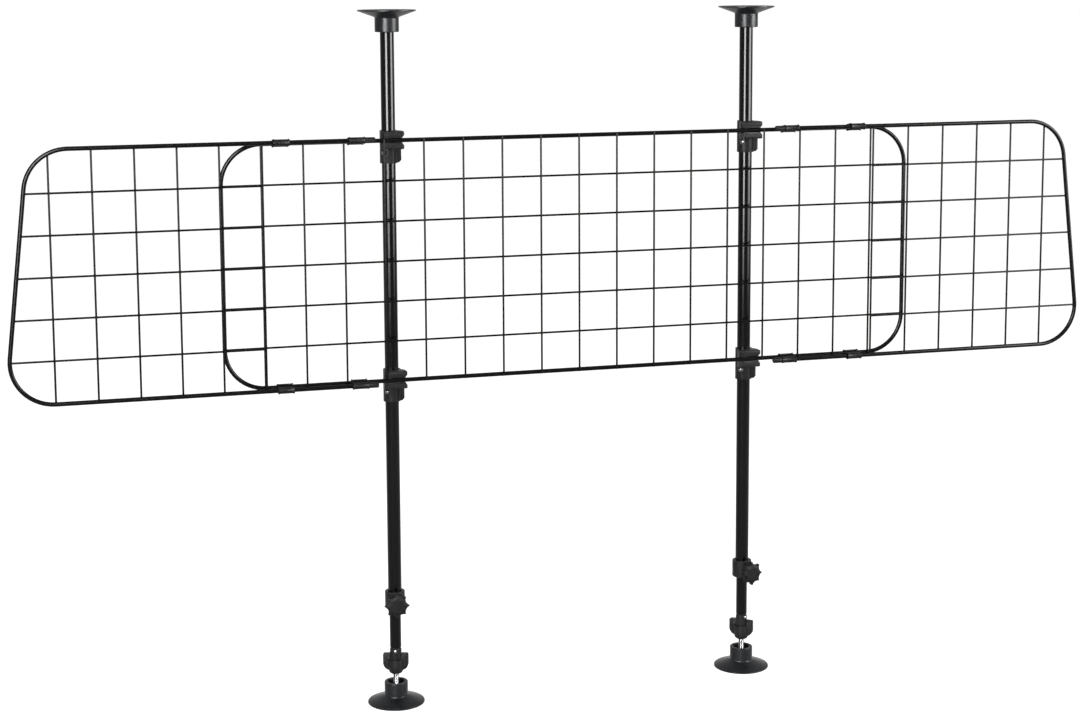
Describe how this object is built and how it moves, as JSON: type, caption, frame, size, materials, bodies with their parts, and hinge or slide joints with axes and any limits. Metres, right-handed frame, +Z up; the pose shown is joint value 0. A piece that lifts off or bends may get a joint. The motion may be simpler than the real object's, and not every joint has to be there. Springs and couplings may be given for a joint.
{
  "type": "car dog guard",
  "caption": "Wire mesh guard for a car boot: a fixed centre panel with sliding side panels, clamped to telescopic poles that wedge between floor and roof.",
  "frame": {"origin": "on the floor under the middle of the guard, in the plane of the pole axes", "axes": "+X along the mesh to the right, +Y from the mesh towards the poles, +Z up the poles"},
  "size_m": [1.5618, 0.08, 0.975],
  "materials": {
    "black_steel": "gloss black powder coat",
    "black_wire": "satin black powder coat",
    "black_plastic": "satin moulded black nylon",
    "black_rubber": "soft black rubber",
    "zinc": "bright zinc plate"
  },
  "bodies": {
    "centre": {"centre_panel": "black_wire", "rail_clip_top_inner_left": "black_plastic", "rail_clip_top_outer_left": "black_plastic", "rail_clip_bottom_inner_left": "black_plastic", "rail_clip_bottom_outer_left": "black_plastic", "rail_clip_top_inner_right": "black_plastic", "rail_clip_top_outer_right": "black_plastic", "rail_clip_bottom_inner_right": "black_plastic", "rail_clip_bottom_outer_right": "black_plastic"},
    "side_left": {"side_panel_left": "black_wire", "rail_cap_top_left": "black_plastic", "rail_cap_bottom_left": "black_plastic"},
    "side_right": {"side_panel_right": "black_wire", "rail_cap_top_right": "black_plastic", "rail_cap_bottom_right": "black_plastic"},
    "clamps_left": {"pole_clamp_upper_left": "black_plastic", "pole_clamp_lower_left": "black_plastic", "clamp_screw_upper_left": "zinc", "clamp_screw_lower_left": "zinc"},
    "clamps_right": {"pole_clamp_upper_right": "black_plastic", "pole_clamp_lower_right": "black_plastic", "clamp_screw_upper_right": "zinc", "clamp_screw_lower_right": "zinc"},
    "outer_pole_left": {"outer_tube_left": "black_steel", "lock_collar_left": "black_plastic", "top_cap_left": "black_plastic", "suction_foot_top_left": "black_rubber"},
    "outer_pole_right": {"outer_tube_right": "black_steel", "lock_collar_right": "black_plastic", "top_cap_right": "black_plastic", "suction_foot_top_right": "black_rubber"},
    "stud_left": {"knob_stud_left": "zinc"},
    "stud_right": {"knob_stud_right": "zinc"},
    "knob_left": {"star_knob_left": "black_plastic"},
    "knob_right": {"star_knob_right": "black_plastic"},
    "inner_pole_left": {"inner_tube_left": "black_steel", "tube_ferrule_left": "black_plastic", "ferrule_rivet_left": "zinc"},
    "inner_pole_right": {"inner_tube_right": "black_steel", "tube_ferrule_right": "black_plastic", "ferrule_rivet_right": "zinc"},
    "nut_left": {"wing_nut_left": "black_plastic"},
    "nut_right": {"wing_nut_right": "black_plastic"},
    "foot_left": {"levelling_screw_left": "zinc", "hex_nut_left": "zinc", "suction_foot_bottom_left": "black_rubber"},
    "foot_right": {"levelling_screw_right": "zinc", "hex_nut_right": "zinc", "suction_foot_bottom_right": "black_rubber"}
  },
  "joints": [
    {"name": "side_slide_left", "type": "slide", "parent": "centre", "child": "side_left", "axis": [1, 0, 0], "range_m": [0, 0.265]},
    {"name": "side_slide_right", "type": "slide", "parent": "centre", "child": "side_right", "axis": [-1, 0, 0], "range_m": [0, 0.265]},
    {"name": "pole_place_left", "type": "slide", "parent": "centre", "child": "clamps_left", "axis": [1, 0, 0], "range_m": [-0.024, 0.2]},
    {"name": "pole_place_right", "type": "slide", "parent": "centre", "child": "clamps_right", "axis": [-1, 0, 0], "range_m": [-0.028, 0.2]},
    {"name": "panel_height_left", "type": "slide", "parent": "clamps_left", "child": "outer_pole_left", "axis": [0, 0, 1], "range_m": [-0.133, 0.27]},
    {"name": "panel_height_right", "type": "slide", "parent": "clamps_right", "child": "outer_pole_right", "axis": [0, 0, 1], "range_m": [-0.133, 0.27]},
    {"name": "pole_length_left", "type": "slide", "parent": "outer_pole_left", "child": "inner_pole_left", "axis": [0, 0, -1], "range_m": [-0.058, 0.3]},
    {"name": "pole_length_right", "type": "slide", "parent": "outer_pole_right", "child": "inner_pole_right", "axis": [0, 0, -1], "range_m": [-0.058, 0.3]},
    {"name": "stud_slide_left", "type": "slide", "parent": "outer_pole_left", "child": "stud_left", "axis": [-0.0872, -0.9962, 0], "range_m": [0, 0.0031]},
    {"name": "stud_slide_right", "type": "slide", "parent": "outer_pole_right", "child": "stud_right", "axis": [0.2419, -0.9703, 0], "range_m": [0, 0.0031]},
    {"name": "knob_turn_left", "type": "hinge", "parent": "stud_left", "child": "knob_left", "pos_m": [-0.26721, -0.02022, 0.147], "axis": [-0.0872, -0.9962, 0], "range_deg": [0, 1080]},
    {"name": "knob_turn_right", "type": "hinge", "parent": "stud_right", "child": "knob_right", "pos_m": [0.26206, -0.0197, 0.147], "axis": [0.2419, -0.9703, 0], "range_deg": [0, 1080]},
    {"name": "wing_nut_turn_left", "type": "hinge", "parent": "inner_pole_left", "child": "nut_left", "pos_m": [-0.26544, 0, 0.05], "axis": [0, 0, 1], "range_deg": [-3172, 10084]},
    {"name": "wing_nut_turn_right", "type": "hinge", "parent": "inner_pole_right", "child": "nut_right", "pos_m": [0.25715, 0, 0.05], "axis": [0, 0, 1], "range_deg": [-3172, 10084]},
    {"name": "foot_height_left", "type": "slide", "parent": "inner_pole_left", "child": "foot_left", "axis": [0, 0, -1], "range_m": [-0.011, 0.035]},
    {"name": "foot_height_right", "type": "slide", "parent": "inner_pole_right", "child": "foot_right", "axis": [0, 0, -1], "range_m": [-0.011, 0.035]}
  ],
  "couplings": [
    {"joint": "stud_slide_left", "follows": "knob_turn_left", "m_per_rad": 0.00015915},
    {"joint": "stud_slide_right", "follows": "knob_turn_right", "m_per_rad": 0.00015915},
    {"joint": "wing_nut_turn_left", "follows": "foot_height_left", "rad_per_m": 5026.5},
    {"joint": "wing_nut_turn_right", "follows": "foot_height_right", "rad_per_m": 5026.5}
  ]
}
